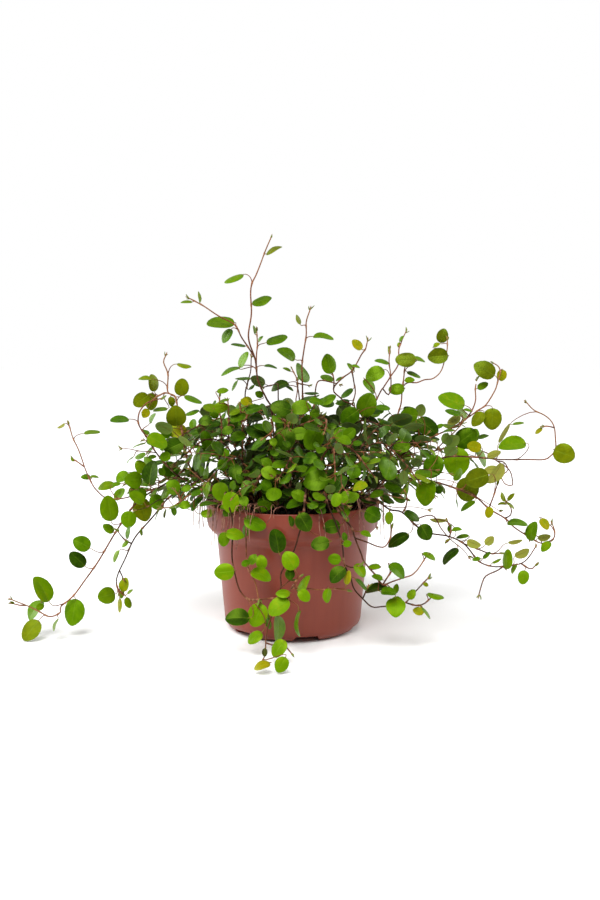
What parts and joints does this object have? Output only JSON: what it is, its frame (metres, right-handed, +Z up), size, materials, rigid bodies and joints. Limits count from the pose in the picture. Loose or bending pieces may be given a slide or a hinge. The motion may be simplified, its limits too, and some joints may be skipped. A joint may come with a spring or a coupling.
{
  "type": "potted wire vine",
  "caption": "Wire vine with arching and trailing thin stems and small round leaves, growing in a round plastic nursery pot filled with potting soil.",
  "frame": {"origin": "centre of the pot's flat underside", "axes": "+Z up, +X to the right and -Y towards the viewer in the front view"},
  "size_m": [0.386, 0.2147, 0.2673],
  "materials": {
    "pot": "satin terracotta-coloured moulded plastic",
    "soil": "dark moist peat potting soil",
    "shoots": "glossy green leaves on thin reddish-brown stems"
  },
  "bodies": {
    "root": {"nursery_pot": "pot", "potting_soil": "soil", "tall_shoot": "shoots", "dark_centre_shoot": "shoots", "centre_right_shoot": "shoots", "pale_centre_shoot": "shoots", "left_upright_shoot": "shoots", "left_hooked_shoot": "shoots", "far_left_shoot": "shoots", "long_left_trailer": "shoots", "left_forked_trailer": "shoots", "left_low_shoot": "shoots", "front_left_trailer": "shoots", "front_ground_trailer": "shoots", "right_front_trailer": "shoots", "right_lower_trailer": "shoots", "right_forked_trailer": "shoots", "right_trailer": "shoots", "far_right_shoot": "shoots", "right_loop_shoot": "shoots", "right_upper_shoot": "shoots", "right_arching_shoot": "shoots", "right_back_shoot": "shoots", "right_centre_shoot": "shoots", "crown_left_shoot": "shoots", "crown_mid_left_shoot": "shoots", "crown_mid_shoot": "shoots", "crown_shoot_01": "shoots", "crown_shoot_02": "shoots", "crown_shoot_03": "shoots", "crown_shoot_04": "shoots", "crown_shoot_05": "shoots", "crown_shoot_06": "shoots", "crown_shoot_07": "shoots", "crown_shoot_08": "shoots", "crown_shoot_09": "shoots", "crown_shoot_10": "shoots", "crown_shoot_11": "shoots", "crown_shoot_12": "shoots", "crown_shoot_13": "shoots", "crown_shoot_14": "shoots", "crown_shoot_15": "shoots", "crown_shoot_16": "shoots", "crown_shoot_17": "shoots", "crown_shoot_18": "shoots", "crown_shoot_19": "shoots", "crown_shoot_20": "shoots", "crown_shoot_21": "shoots", "crown_shoot_22": "shoots", "crown_shoot_23": "shoots", "crown_shoot_24": "shoots", "crown_shoot_25": "shoots", "crown_shoot_26": "shoots", "crown_shoot_27": "shoots"}
  },
  "joints": []
}
